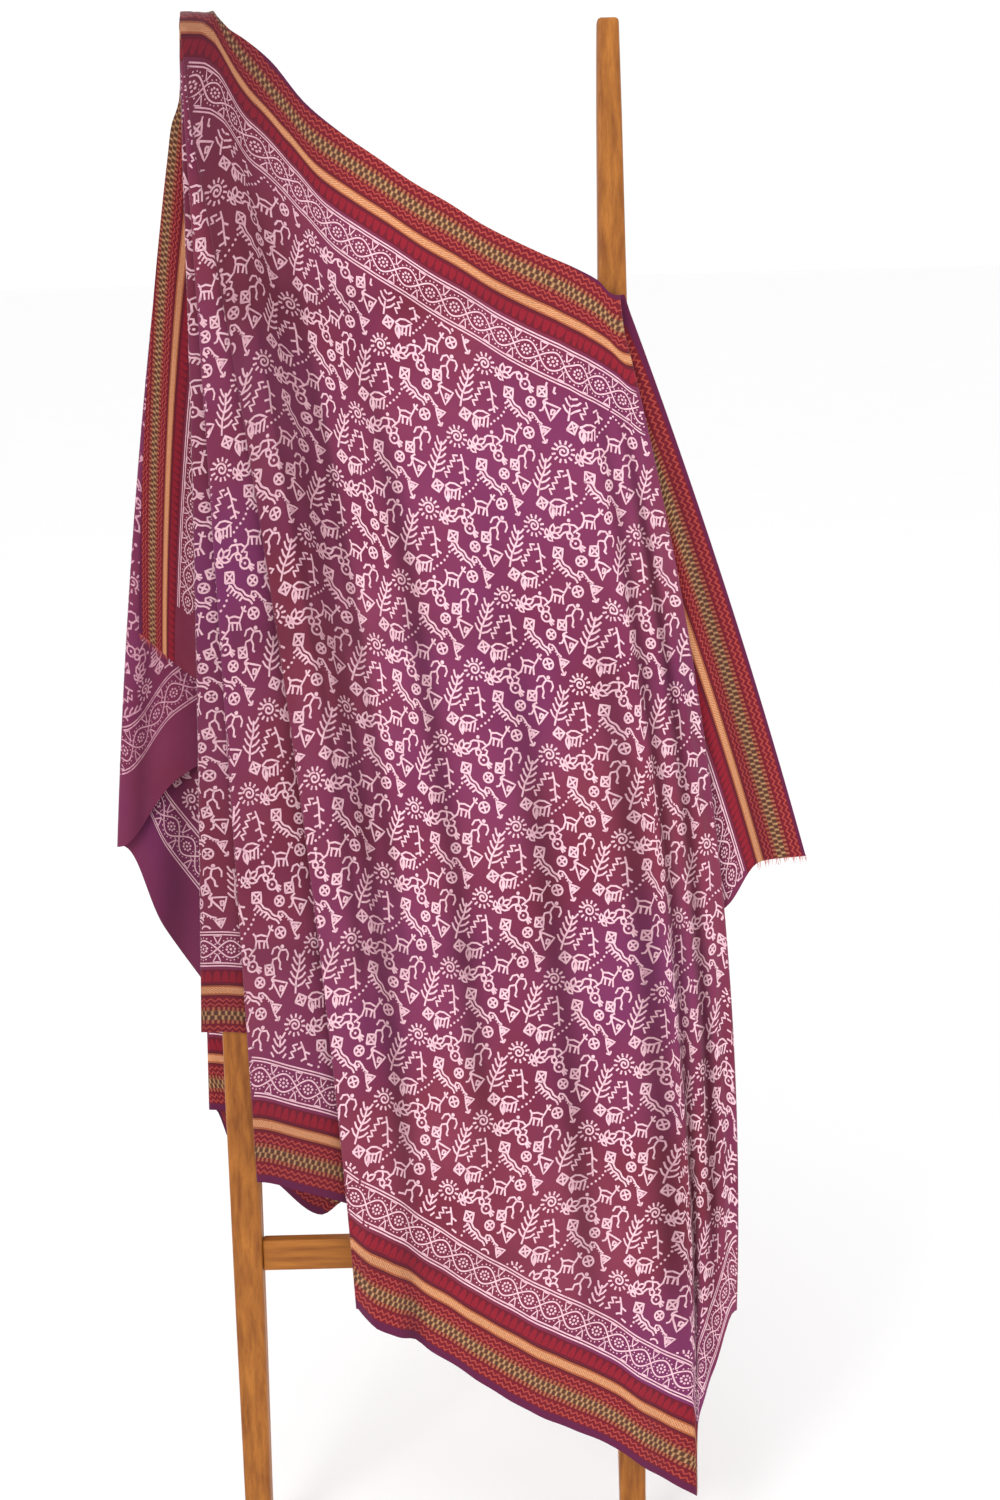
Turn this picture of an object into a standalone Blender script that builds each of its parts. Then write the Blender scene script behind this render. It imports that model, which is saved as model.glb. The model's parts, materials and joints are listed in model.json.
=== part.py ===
import math

import bpy
import numpy as np

# A printed cotton sarong draped over a leaning wooden ladder, in metres, +Z up, front towards -Y.
# Every size below is measured in the plane of the ladder's front:
# x to the right of the ladder's middle, h down from the poles' tops, n out from the poles' fronts.

# Ladder
LEAN = math.radians(8.0)
POLE_X = 0.218
POLE_DEPTH = 0.028
POLE_LENGTH = 1.720
POLE_ROUND = 0.004
# Each pole is thickest below its middle and thinner towards both ends.
POLE_WIDTHS = [
    # h, width
    (0.000, 0.0230),
    (0.100, 0.0265),
    (0.300, 0.0310),
    (0.700, 0.0345),
    (1.150, 0.0360),
    (1.450, 0.0330),
    (1.720, 0.0290),
]
WALL_FACE_H = 0.040
WALL_FACE_TOP = 0.006
RUNG_FIRST_H = 0.290
RUNG_PITCH = 0.355
RUNG_COUNT = 4
RUNG_TALL = 0.036
RUNG_DEEP = 0.018
RUNG_ROUND = 0.002
JOINT_GAP = 0.0003

# Cloth
THICKNESS = 0.0012
HOOK_DROP = 0.030
FOLD_ROUND = 0.003
RIPPLE = 0.007

# Each layer of the gathered cloth, in the order in which the sheet runs from its left long edge
# to its right one. n_top and n_slope give its place out from the poles' fronts, n = n_top + n_slope * h.
# hook is how far the layer passes over the top of the left pole: 1 is all the way to the other side
# of the pole, 0.5 to the middle of the pole's top and 0 not at all.
LAYERS = [
    # name, n_top, n_slope, hook
    ("left_edge_strip", -0.0420, -0.119, 0.46),
    ("left_return", -0.0446, -0.126, 0.46),
    ("left_back", -0.0472, -0.133, 0.46),
    ("corner_tail", -0.0394, -0.112, 0.46),
    ("inner_back", -0.0368, -0.106, 0.46),
    ("pole_back", -0.0342, -0.100, 0.46),
    ("pole_front", 0.0032, 0.001, 0.46),
    ("second_under", 0.0065, 0.003, 0.46),
    ("second_panel", 0.0098, 0.005, 0.46),
    ("main_under", 0.0131, 0.007, 0.46),
    ("main_panel", 0.0168, 0.009, 0.46),
    ("right_under", 0.0110, 0.006, 0.0),
    ("right_edge_strip", 0.0055, 0.003, 0.0),
]

# The fold at the end of each layer, with the sheet's two long-edge ends first and last.
# turn is the side that the fold points to, bow how far its middle swings out.
FOLDS = [
    # name, turn, top_x, top_h, foot_x, foot_h, bow
    ("left_long_edge", 0, -0.2325, 0.000, -0.317, 0.646, -0.010),
    ("tuck_right", 1, -0.2240, 0.000, -0.150, 0.762, 0.000),
    ("far_left", -1, -0.2325, 0.000, -0.362, 0.903, -0.010),
    ("tail_right", 1, -0.2235, 0.000, -0.126, 1.362, 0.045),
    ("behind_pole_left", -1, -0.2325, 0.000, -0.274, 1.232, 0.000),
    ("behind_right", 1, -0.2240, 0.000, -0.130, 1.232, 0.000),
    ("pole_left", -1, -0.2325, 0.000, -0.256, 1.088, 0.004),
    ("under_second", 1, -0.2090, 0.000, -0.105, 1.112, 0.000),
    ("second_left", -1, -0.2325, 0.000, -0.199, 1.260, 0.000),
    ("under_main", 1, -0.2090, 0.000, -0.010, 1.340, 0.000),
    ("main_left", -1, -0.2325, 0.000, -0.091, 1.407, 0.018),
    ("main_right", 1, 0.222, 0.290, 0.335, 1.420, 0.038),
    ("under_right", -1, 0.204, 0.300, 0.070, 1.080, 0.000),
    ("right_long_edge", 0, 0.230, 0.288, 0.421, 0.903, 0.007),
]
# The folds and the edge at the far left flare out just below the top.
FLARE = {"left_long_edge": -0.012, "far_left": -0.010, "behind_pole_left": -0.004, "pole_left": -0.002}

# Lines across a layer, from the upper edge to the hem, between its two folds.
LINES = {
    # top_x, top_h, foot_x, foot_h
    "left_edge_strip": [(-0.2285, 0.000, -0.248, 0.715)],
    "left_return": [(-0.2262, 0.000, -0.207, 0.776), (-0.2300, 0.000, -0.300, 0.824)],
    "left_back": [(-0.2305, 0.000, -0.327, 1.006), (-0.2282, 0.000, -0.270, 1.098), (-0.2258, 0.000, -0.196, 1.235)],
    "corner_tail": [(-0.2258, 0.000, -0.150, 1.378), (-0.2282, 0.000, -0.204, 1.334), (-0.2306, 0.000, -0.256, 1.284)],
    "inner_back": [(-0.2298, 0.000, -0.222, 1.240), (-0.2265, 0.000, -0.172, 1.236)],
    "pole_back": [(-0.2265, 0.000, -0.172, 1.186), (-0.2298, 0.000, -0.222, 1.140)],
    "pole_front": [(-0.2270, 0.000, -0.233, 1.088), (-0.2190, 0.000, -0.208, 1.090), (-0.2130, 0.000, -0.155, 1.102)],
    "second_under": [(-0.2210, 0.000, -0.152, 1.186)],
    "second_panel": [(-0.2260, 0.000, -0.150, 1.272), (-0.2190, 0.000, -0.100, 1.288), (-0.2130, 0.000, -0.055, 1.312)],
    "main_under": [(-0.2210, 0.000, -0.051, 1.375)],
    "main_panel": [
        (-0.2260, 0.000, -0.086, 1.412),
        (-0.2180, 0.000, -0.070, 1.422),
        (-0.2090, 0.000, -0.053, 1.433),
        (-0.1990, 0.000, -0.038, 1.443),
        (-0.1900, 0.002, -0.027, 1.450),
        (-0.1800, 0.007, -0.014, 1.459),
        (-0.168, 0.015, 0.000, 1.468),
        (-0.138, 0.040, 0.033, 1.488),
        (-0.104, 0.083, 0.066, 1.508),
        (-0.068, 0.114, 0.100, 1.527),
        (-0.030, 0.141, 0.134, 1.546),
        (0.008, 0.168, 0.168, 1.563),
        (0.045, 0.190, 0.200, 1.580),
        (0.080, 0.213, 0.232, 1.602),
        (0.114, 0.231, 0.262, 1.622),
        (0.145, 0.246, 0.288, 1.634),
        (0.174, 0.259, 0.290, 1.560),
        (0.200, 0.273, 0.310, 1.490),
    ],
    "right_under": [(0.216, 0.294, 0.245, 1.290), (0.210, 0.297, 0.150, 1.180)],
    "right_edge_strip": [(0.211, 0.296, 0.200, 1.025), (0.218, 0.292, 0.332, 0.958), (0.225, 0.289, 0.372, 0.908)],
}

# How far each of the main panel's first lines passes over the pole's top.
MAIN_HOOK = [0.46, 0.46, 0.46, 0.40, 0.28, 0.14, 0.0]

# Shares of the way from the upper edge to the hem. The first ones form the hook.
HOOK_ROWS = [0.0, 0.005, 0.009, 0.014, 0.020, 0.030]
ROWS = [0.06, 0.10, 0.15, 0.20, 0.26, 0.32, 0.38, 0.44, 0.50, 0.56, 0.62, 0.68, 0.74, 0.80, 0.86, 0.91, 0.96, 1.0]

WOOD = (0.42, 0.20, 0.065, 1.0)
CLOTH = (0.20, 0.024, 0.075, 1.0)


def plain_world(x, h, n):
    """A point of the ladder's plane as world x, y, z, before the origin is moved to the wall rest."""
    return np.array(
        [x, -n * math.cos(LEAN) - h * math.sin(LEAN), -h * math.cos(LEAN) + n * math.sin(LEAN)]
    )


# The wall rest: a small upright face on the back of each pole's top, where it leans on the wall.
FACE_RISE = (WALL_FACE_H - WALL_FACE_TOP) / math.cos(LEAN)
FACE_LOW = plain_world(POLE_X, WALL_FACE_H, -POLE_DEPTH)
FACE_HIGH = plain_world(POLE_X, WALL_FACE_TOP, -POLE_DEPTH + FACE_RISE * math.sin(LEAN))
ORIGIN = (FACE_LOW + FACE_HIGH) / 2


def world(x, h, n):
    return plain_world(x, h, n) - ORIGIN


def clear_scene():
    for thing in list(bpy.data.objects):
        bpy.data.objects.remove(thing, do_unlink=True)


def material(name, colour, roughness):
    made = bpy.data.materials.new(name)
    made.use_nodes = True
    shader = made.node_tree.nodes["Principled BSDF"]
    shader.inputs["Base Color"].default_value = colour
    shader.inputs["Roughness"].default_value = roughness
    shader.inputs["Metallic"].default_value = 0.0
    return made


def mesh_object(name, points, faces, look):
    mesh = bpy.data.meshes.new(name)
    mesh.from_pydata([tuple(float(c) for c in p) for p in points], [], faces)
    mesh.validate()
    mesh.materials.append(look)
    made = bpy.data.objects.new(name, mesh)
    bpy.context.scene.collection.objects.link(made)
    return made


def rounded(thing, width):
    bevel = thing.modifiers.new("rounded", "BEVEL")
    bevel.width = width
    bevel.segments = 2
    bevel.limit_method = "ANGLE"
    bevel.angle_limit = math.radians(30)


def prism(name, x_low, x_high, outline, look):
    """A solid of the (h, n) outline between two x values. The outline runs so that its faces point out."""
    count = len(outline)
    points = [world(x, h, n) for x in (x_low, x_high) for h, n in outline]
    faces = [tuple(reversed(range(count))), tuple(range(count, 2 * count))]
    for i in range(count):
        j = (i + 1) % count
        faces.append((i, j, j + count, i + count))
    return mesh_object(name, points, faces, look)


def pole_width(h):
    table = np.array(POLE_WIDTHS)
    return float(np.interp(h, table[:, 0], table[:, 1]))


def build_pole(name, side, look):
    """A tapered pole: rings of four corners from its top to its foot, which is cut level."""
    rings = [
        (0.0, 0.0, -POLE_DEPTH + FACE_RISE * math.sin(LEAN) + 0.004),
        (WALL_FACE_TOP, WALL_FACE_TOP, -POLE_DEPTH + FACE_RISE * math.sin(LEAN)),
        (WALL_FACE_H, WALL_FACE_H, -POLE_DEPTH),
    ]
    rings += [(h, h, -POLE_DEPTH) for h, _ in POLE_WIDTHS[1:-1]]
    rings.append((POLE_LENGTH, POLE_LENGTH - POLE_DEPTH * math.tan(LEAN), -POLE_DEPTH))
    points = []
    for front_h, back_h, back in rings:
        half = pole_width(front_h) / 2
        left, right = side * POLE_X - half, side * POLE_X + half
        corners = [(left, front_h, 0.0), (right, front_h, 0.0), (right, back_h, back), (left, back_h, back)]
        points += [world(*corner) for corner in corners]
    count = len(rings)
    faces = [(0, 1, 2, 3), tuple(4 * (count - 1) + k for k in (3, 2, 1, 0))]
    for i in range(count - 1):
        for k in range(4):
            j = (k + 1) % 4
            faces.append((4 * i + k, 4 * i + 4 + k, 4 * i + 4 + j, 4 * i + j))
    return mesh_object(name, points, faces, look)


def build_rung(name, h, look):
    reach = POLE_X - pole_width(h) / 2 - JOINT_GAP
    front = -(POLE_DEPTH - RUNG_DEEP) / 2
    top, low = h - RUNG_TALL / 2, h + RUNG_TALL / 2
    outline = [(top, front), (low, front), (low, front - RUNG_DEEP), (top, front - RUNG_DEEP)]
    return prism(name, -reach, reach, outline, look)


def over_pole(n_top, hook):
    """(h, n) at each hook row of a layer over the pole's top: it starts hook of the way to the far side."""
    reach = n_top if n_top > 0 else -n_top - POLE_DEPTH
    near, far = (0.0, -POLE_DEPTH) if n_top > 0 else (-POLE_DEPTH, 0.0)
    out = 1 if n_top > 0 else -1
    path = np.array([
        (HOOK_DROP, far - out * reach),
        (0.0, far - out * reach),
        (-reach, far),
        (-reach, near),
        (0.0, near + out * reach),
        (HOOK_DROP, near + out * reach),
    ])
    last = len(path) - 1
    places = np.linspace(last * (1 - hook), last, len(HOOK_ROWS))
    return [tuple(np.interp(place, range(last + 1), path[:, k]) for k in (0, 1)) for place in places]


def line_points(line):
    """The points of one line of the sheet, from the upper edge to the hem."""
    found = []
    hooked = over_pole(line["n_top"], line["hook"]) if line["hook"] else None
    for i, v in enumerate(HOOK_ROWS + ROWS):
        start = HOOK_DROP if hooked else 0.0
        h = line["top_h"] + start + (line["foot_h"] - line["top_h"] - start) * v
        below_hook = max(0.0, v - HOOK_ROWS[-1]) / (1 - HOOK_ROWS[-1])
        x = line["top_x"] + (line["foot_x"] - line["top_x"]) * v
        x += line["bow"] * 4 * below_hook * (1 - below_hook)
        n = line["n_top"] + line["n_slope"] * h
        if hooked and i < len(HOOK_ROWS):
            h, n = hooked[i]
            h += line["top_h"]
        n += line["ripple"] * math.sin(math.pi * min(1.0, 1.6 * v)) if v > 0.03 else 0.0
        x += line["swing"] * min(1.0, v / 0.1)
        found.append((x, h, n))
    return found


def layer_line(layer, top_x, top_h, foot_x, foot_h, bow=0.0, hook=None, ripple=0.0, swing=0.0):
    name, n_top, n_slope, layer_hook = layer
    return {
        "layer": name, "top_x": top_x, "top_h": top_h, "foot_x": foot_x, "foot_h": foot_h, "bow": bow,
        "n_top": n_top, "n_slope": n_slope, "hook": layer_hook if hook is None else hook,
        "ripple": ripple, "swing": swing,
    }


def fold_lines(fold, before, after):
    """The lines round one fold, from the layer before it to the layer after it, as lists of points."""
    name, turn, top_x, top_h, foot_x, foot_h, bow = fold
    wide = before[1] * after[1] < 0
    steps = 6 if wide else 4
    hook_before = 0.0 if name == "main_right" else before[3]
    swing = FLARE.get(name, 0.0)
    first = line_points(layer_line(before, top_x, top_h, foot_x, foot_h, bow, hook_before, 0.0, swing))
    last = line_points(layer_line(after, top_x, top_h, foot_x, foot_h, bow, after[3], 0.0, swing))
    found = []
    for k in range(steps):
        angle = math.pi * (k / (steps - 1) - 0.5)
        share = (1 + math.sin(angle)) / 2
        column = []
        for row, ((x, h_a, n_a), (_, h_b, n_b)) in enumerate(zip(first, last)):
            half = math.hypot(n_a - n_b, h_a - h_b) / 2
            swell = min(half, FOLD_ROUND) * math.cos(angle) * turn
            h = h_a + (h_b - h_a) * share
            if wide and row < len(HOOK_ROWS):
                # Beside the pole the rows come down evenly instead of passing over its top.
                top_h = first[0][1] + (last[0][1] - first[0][1]) * share
                even = top_h + (HOOK_DROP - top_h) * row / (len(HOOK_ROWS) - 1)
                h += (even - h) * math.cos(angle)
            column.append((x + swell, h, n_a + (n_b - n_a) * share))
        found.append(column)
    return found


def sheet_columns():
    """Every line of the sheet, as a list of (x, h, n) points, in the order in which the cloth runs."""
    folds = FOLDS
    columns = []
    first = folds[0]
    edge = layer_line(LAYERS[0], *first[2:], swing=FLARE.get(first[0], 0.0))
    columns.append(line_points(edge))
    for i, layer in enumerate(LAYERS):
        before, after = folds[i], folds[i + 1]
        lines = LINES[layer[0]]
        for j, (top_x, top_h, foot_x, foot_h) in enumerate(lines):
            across = (j + 1) / (len(lines) + 1)
            bow = before[6] + (after[6] - before[6]) * across
            hook, ripple = None, 0.0
            if layer[0] == "main_panel":
                hook = MAIN_HOOK[min(j, len(MAIN_HOOK) - 1)]
                ripple = RIPPLE * (0.5 - 0.5 * math.cos(2 * math.pi * 2.5 * across)) * min(1.0, 2.5 * across)
            columns.append(line_points(layer_line(layer, top_x, top_h, foot_x, foot_h, bow, hook, ripple)))
        if after[1]:
            columns.extend(fold_lines(after, layer, LAYERS[i + 1]))
    last = folds[-1]
    columns.append(line_points(layer_line(LAYERS[-1], *last[2:])))
    return columns


def sheet_normals(grid):
    along = np.gradient(grid, axis=0)
    down = np.gradient(grid, axis=1)
    normal = np.cross(along, down)
    length = np.linalg.norm(normal, axis=2, keepdims=True)
    return normal / np.maximum(length, 1e-12)


def build_cloth(name, look):
    grid = np.array([[world(*p) for p in column] for column in sheet_columns()])
    normal = sheet_normals(grid)
    wide, tall = grid.shape[:2]
    front = (grid + normal * THICKNESS / 2).reshape(-1, 3)
    back = (grid - normal * THICKNESS / 2).reshape(-1, 3)
    points = np.concatenate([front, back])
    shift = wide * tall

    def at(i, j):
        return i * tall + j

    faces = []
    for i in range(wide - 1):
        for j in range(tall - 1):
            a, b, c, d = at(i, j), at(i + 1, j), at(i + 1, j + 1), at(i, j + 1)
            for corner in ((a, b, c), (a, c, d)):
                faces.append(corner)
                faces.append(tuple(shift + k for k in reversed(corner)))
    rim = [at(i, 0) for i in range(wide)]
    rim += [at(wide - 1, j) for j in range(1, tall)]
    rim += [at(i, tall - 1) for i in range(wide - 2, -1, -1)]
    rim += [at(0, j) for j in range(tall - 2, 0, -1)]
    for a, b in zip(rim, rim[1:] + rim[:1]):
        faces.append((b, a, a + shift, b + shift))
    return mesh_object(name, points, faces, look)


clear_scene()
wood = material("honey_wood", WOOD, 0.45)
printed_cotton = material("plum_cotton", CLOTH, 0.85)
rounded(build_pole("pole_left", -1, wood), POLE_ROUND)
rounded(build_pole("pole_right", 1, wood), POLE_ROUND)
for number in range(RUNG_COUNT):
    rung = build_rung(f"rung_{number + 1}", RUNG_FIRST_H + number * RUNG_PITCH, wood)
    rounded(rung, RUNG_ROUND)
build_cloth("cloth", printed_cotton)
bpy.context.view_layer.update()
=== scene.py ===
import json
import math

import bpy
import numpy as np
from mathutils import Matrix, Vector
from mathutils.bvhtree import BVHTree

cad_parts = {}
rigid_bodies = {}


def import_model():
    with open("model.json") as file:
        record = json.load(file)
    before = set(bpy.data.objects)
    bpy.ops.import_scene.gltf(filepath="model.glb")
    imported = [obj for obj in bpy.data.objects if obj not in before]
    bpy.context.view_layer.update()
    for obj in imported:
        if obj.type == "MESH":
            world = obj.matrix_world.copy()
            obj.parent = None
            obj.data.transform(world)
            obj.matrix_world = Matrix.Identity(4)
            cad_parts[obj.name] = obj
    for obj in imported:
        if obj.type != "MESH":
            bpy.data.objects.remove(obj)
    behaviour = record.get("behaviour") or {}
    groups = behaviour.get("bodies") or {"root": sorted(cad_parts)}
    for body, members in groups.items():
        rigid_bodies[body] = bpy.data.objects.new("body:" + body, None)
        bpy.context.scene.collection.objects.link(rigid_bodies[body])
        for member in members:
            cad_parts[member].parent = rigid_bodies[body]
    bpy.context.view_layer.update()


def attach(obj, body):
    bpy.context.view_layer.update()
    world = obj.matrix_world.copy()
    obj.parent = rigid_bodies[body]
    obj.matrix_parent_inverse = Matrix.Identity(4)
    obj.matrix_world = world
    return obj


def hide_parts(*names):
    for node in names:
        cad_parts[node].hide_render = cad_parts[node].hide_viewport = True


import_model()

# The cloth's drape: the same sizes as its solid, in the plane of the ladder's front.
# x to the right of the ladder's middle, h down from the poles' tops, n out from the poles' fronts.
LEAN = math.radians(8.0)
POLE_X = 0.218
POLE_DEPTH = 0.028
POLE_LENGTH = 1.720
WALL_FACE_H = 0.040
WALL_FACE_TOP = 0.006
RUNG_FIRST_H = 0.290
RUNG_PITCH = 0.355
RUNG_COUNT = 4
HOOK_DROP = 0.030
FOLD_ROUND = 0.003
RIPPLE = 0.007

LAYERS = [
    # name, n_top, n_slope, hook
    ("left_edge_strip", -0.0420, -0.119, 0.46),
    ("left_return", -0.0446, -0.126, 0.46),
    ("left_back", -0.0472, -0.133, 0.46),
    ("corner_tail", -0.0394, -0.112, 0.46),
    ("inner_back", -0.0368, -0.106, 0.46),
    ("pole_back", -0.0342, -0.100, 0.46),
    ("pole_front", 0.0032, 0.001, 0.536),
    ("second_under", 0.0065, 0.003, 0.536),
    ("second_panel", 0.0098, 0.005, 0.536),
    ("main_under", 0.0131, 0.007, 0.536),
    ("main_panel", 0.0168, 0.009, 0.536),
    ("right_under", 0.0110, 0.006, 0.0),
    ("right_edge_strip", 0.0055, 0.003, 0.0),
]
FOLDS = [
    # name, turn, top_x, top_h, foot_x, foot_h, bow
    ("left_long_edge", 0, -0.2325, 0.000, -0.317, 0.646, -0.010),
    ("tuck_right", 1, -0.2240, 0.000, -0.150, 0.762, 0.000),
    ("far_left", -1, -0.2325, 0.000, -0.362, 0.903, -0.010),
    ("tail_right", 1, -0.2235, 0.000, -0.126, 1.362, 0.045),
    ("behind_pole_left", -1, -0.2325, 0.000, -0.274, 1.232, 0.000),
    ("behind_right", 1, -0.2240, 0.000, -0.130, 1.232, 0.000),
    ("pole_left", -1, -0.2325, 0.000, -0.256, 1.088, 0.004),
    ("under_second", 1, -0.2090, 0.000, -0.105, 1.112, 0.000),
    ("second_left", -1, -0.2325, 0.000, -0.199, 1.260, 0.000),
    ("under_main", 1, -0.2090, 0.000, -0.010, 1.340, 0.000),
    ("main_left", -1, -0.2325, 0.000, -0.091, 1.407, 0.018),
    ("main_right", 1, 0.222, 0.290, 0.335, 1.420, 0.038),
    ("under_right", -1, 0.204, 0.300, 0.070, 1.080, 0.000),
    ("right_long_edge", 0, 0.230, 0.288, 0.421, 0.903, 0.007),
]
FLARE = {"left_long_edge": -0.012, "far_left": -0.010, "behind_pole_left": -0.004, "pole_left": -0.002}
LINES = {
    # top_x, top_h, foot_x, foot_h
    "left_edge_strip": [(-0.2285, 0.000, -0.248, 0.715)],
    "left_return": [(-0.2262, 0.000, -0.207, 0.776), (-0.2300, 0.000, -0.300, 0.824)],
    "left_back": [(-0.2305, 0.000, -0.327, 1.006), (-0.2282, 0.000, -0.270, 1.098),
        (-0.2258, 0.000, -0.196, 1.235)],
    "corner_tail": [(-0.2258, 0.000, -0.150, 1.378), (-0.2282, 0.000, -0.204, 1.334),
        (-0.2306, 0.000, -0.256, 1.284)],
    "inner_back": [(-0.2298, 0.000, -0.222, 1.240), (-0.2265, 0.000, -0.172, 1.236)],
    "pole_back": [(-0.2265, 0.000, -0.172, 1.186), (-0.2298, 0.000, -0.222, 1.140)],
    "pole_front": [(-0.2270, 0.000, -0.233, 1.088), (-0.2190, 0.000, -0.208, 1.090),
        (-0.2130, 0.000, -0.155, 1.102)],
    "second_under": [(-0.2210, 0.000, -0.152, 1.186)],
    "second_panel": [(-0.2260, 0.000, -0.150, 1.272), (-0.2190, 0.000, -0.100, 1.288),
        (-0.2130, 0.000, -0.055, 1.312)],
    "main_under": [(-0.2210, 0.000, -0.051, 1.375)],
    "main_panel": [
        (-0.2260, 0.000, -0.086, 1.412),
        (-0.2180, 0.000, -0.070, 1.422),
        (-0.2090, 0.000, -0.053, 1.433),
        (-0.1990, 0.000, -0.038, 1.443),
        (-0.1900, 0.002, -0.027, 1.450),
        (-0.1800, 0.007, -0.014, 1.459),
        (-0.168, 0.015, 0.000, 1.468),
        (-0.138, 0.040, 0.033, 1.488),
        (-0.104, 0.083, 0.066, 1.508),
        (-0.068, 0.114, 0.100, 1.527),
        (-0.030, 0.141, 0.134, 1.546),
        (0.008, 0.168, 0.168, 1.563),
        (0.045, 0.190, 0.200, 1.580),
        (0.080, 0.213, 0.232, 1.602),
        (0.114, 0.231, 0.262, 1.622),
        (0.145, 0.246, 0.288, 1.634),
        (0.174, 0.259, 0.290, 1.560),
        (0.200, 0.273, 0.310, 1.490),
    ],
    "right_under": [(0.216, 0.294, 0.245, 1.290), (0.210, 0.297, 0.150, 1.180)],
    "right_edge_strip": [(0.211, 0.296, 0.200, 1.025), (0.218, 0.292, 0.332, 0.958),
        (0.225, 0.289, 0.372, 0.908)],
}
# How far each of the main panel's first lines passes over the tip: 0.5 is half way, 0.8 hangs behind.
MAIN_HOOK = [0.536, 0.62, 0.80, 0.64, 0.28, 0.20, 0.0]
HOOK_ROWS = [0.0, 0.005, 0.009, 0.014, 0.020, 0.030]
ROWS = [
    0.06, 0.10, 0.15, 0.20, 0.26, 0.32, 0.38, 0.44, 0.50,
    0.56, 0.62, 0.68, 0.74, 0.80, 0.86, 0.91, 0.96, 1.0,
]

# The flat cloth, in metres: s along its length from the lower left short end, t down its width.
WIDTH = 1.10
LENGTH = 1.93
TURN_S = 1.30
# Where the gathered folds start on the flat cloth: each passes over the pole's tip side by side.
TOP_S = {
    "left_long_edge": 0.660, "tuck_right": 0.668, "far_left": 0.674, "tail_right": 0.678,
    "behind_pole_left": 0.682, "behind_right": 0.685, "pole_left": 0.688,
    "under_second": 0.711, "second_left": 0.731, "under_main": 0.754, "main_left": 0.774,
}
# How much of the selvedge is rolled to the back along the main panel's upper edge.
EDGE_ROLL = [
    # share along the edge, t in view
    (0.000, 0.023),
    (0.079, 0.027),
    (0.100, 0.021),
    (0.126, 0.013),
    (0.200, 0.002),
    (0.300, 0.004),
    (0.420, 0.009),
    (0.860, 0.009),
    (0.950, 0.004),
    (1.000, 0.004),
]
# How wide a piece of the border lies over the tip, up to the level of the poles' tops in front.
OVER_TIP = [
    # share along the edge, t at that level
    (0.000, 0.0547),
    (0.043, 0.0547),
    (0.062, 0.0481),
    (0.079, 0.0340),
]
# How fast t grows with the way down a line of the drape there.
FALL_RATE = 0.745
# Where each fold and corner meets the rim, going round from the corner at the far left's foot.
RIM = {
    "left_long_edge": 0.0, "strip_middle": 0.150, "tuck_right": 0.250, "far_left": 0.520, "tail_right": 1.050,
    "corner_low": WIDTH, "behind_pole_left": 1.297, "behind_right": 1.487, "pole_left": 1.752,
    "under_second": 1.982, "second_left": 2.187, "under_main": 2.402, "main_left": 2.585,
    "corner_right": WIDTH + LENGTH, "main_right": 3.255, "under_right": 3.700,
    "right_long_edge": 2 * WIDTH + LENGTH,
}
# The gathered layers at the left are in the shade of the others: layer number, darkening.
GATHER_SHADE = {0: 0.26, 1: 0.30, 2: 0.34, 3: 0.40, 6: 0.60, 8: 0.42}
COLUMN_STEP = 0.0082
ROW_COUNT = 118


def plain_world(x, h, n):
    return np.array([x, -n * math.cos(LEAN) - h * math.sin(LEAN), -h * math.cos(LEAN) + n * math.sin(LEAN)])


FACE_RISE = (WALL_FACE_H - WALL_FACE_TOP) / math.cos(LEAN)
FACE_LOW = plain_world(POLE_X, WALL_FACE_H, -POLE_DEPTH)
FACE_HIGH = plain_world(POLE_X, WALL_FACE_TOP, -POLE_DEPTH + FACE_RISE * math.sin(LEAN))
ORIGIN = (FACE_LOW + FACE_HIGH) / 2


def to_world(points):
    """World places of an array whose last axis holds x, h, n."""
    x, h, n = points[..., 0], points[..., 1], points[..., 2]
    placed = np.stack(
        [x, -n * math.cos(LEAN) - h * math.sin(LEAN), -h * math.cos(LEAN) + n * math.sin(LEAN)], axis=-1
    )
    return placed - ORIGIN


# The drape's control lines

def over_pole(n_top, hook):
    reach = n_top if n_top > 0 else -n_top - POLE_DEPTH
    near, far = (0.0, -POLE_DEPTH) if n_top > 0 else (-POLE_DEPTH, 0.0)
    out = 1 if n_top > 0 else -1
    path = np.array([
        (HOOK_DROP, far - out * reach),
        (0.0, far - out * reach),
        (-reach, far),
        (-reach, near),
        (0.0, near + out * reach),
        (HOOK_DROP, near + out * reach),
    ])
    last = len(path) - 1
    places = np.linspace(last * (1 - hook), last, len(HOOK_ROWS))
    return [tuple(np.interp(place, range(last + 1), path[:, k]) for k in (0, 1)) for place in places]


def line_points(layer, top_x, top_h, foot_x, foot_h, bow=0.0, hook=None, ripple=0.0, swing=0.0):
    n_top, n_slope = layer[1], layer[2]
    hook = layer[3] if hook is None else hook
    hooked = over_pole(n_top, hook) if hook else None
    found = []
    for i, v in enumerate(HOOK_ROWS + ROWS):
        start = HOOK_DROP if hooked else 0.0
        h = top_h + start + (foot_h - top_h - start) * v
        below_hook = max(0.0, v - HOOK_ROWS[-1]) / (1 - HOOK_ROWS[-1])
        x = top_x + (foot_x - top_x) * v
        x += bow * 4 * below_hook * (1 - below_hook)
        n = n_top + n_slope * h
        if hooked and i < len(HOOK_ROWS):
            h, n = hooked[i]
            h += top_h
        n += ripple * math.sin(math.pi * min(1.0, 1.6 * v)) if v > 0.03 else 0.0
        x += swing * min(1.0, v / 0.1)
        found.append((x, h, n))
    return found


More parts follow.
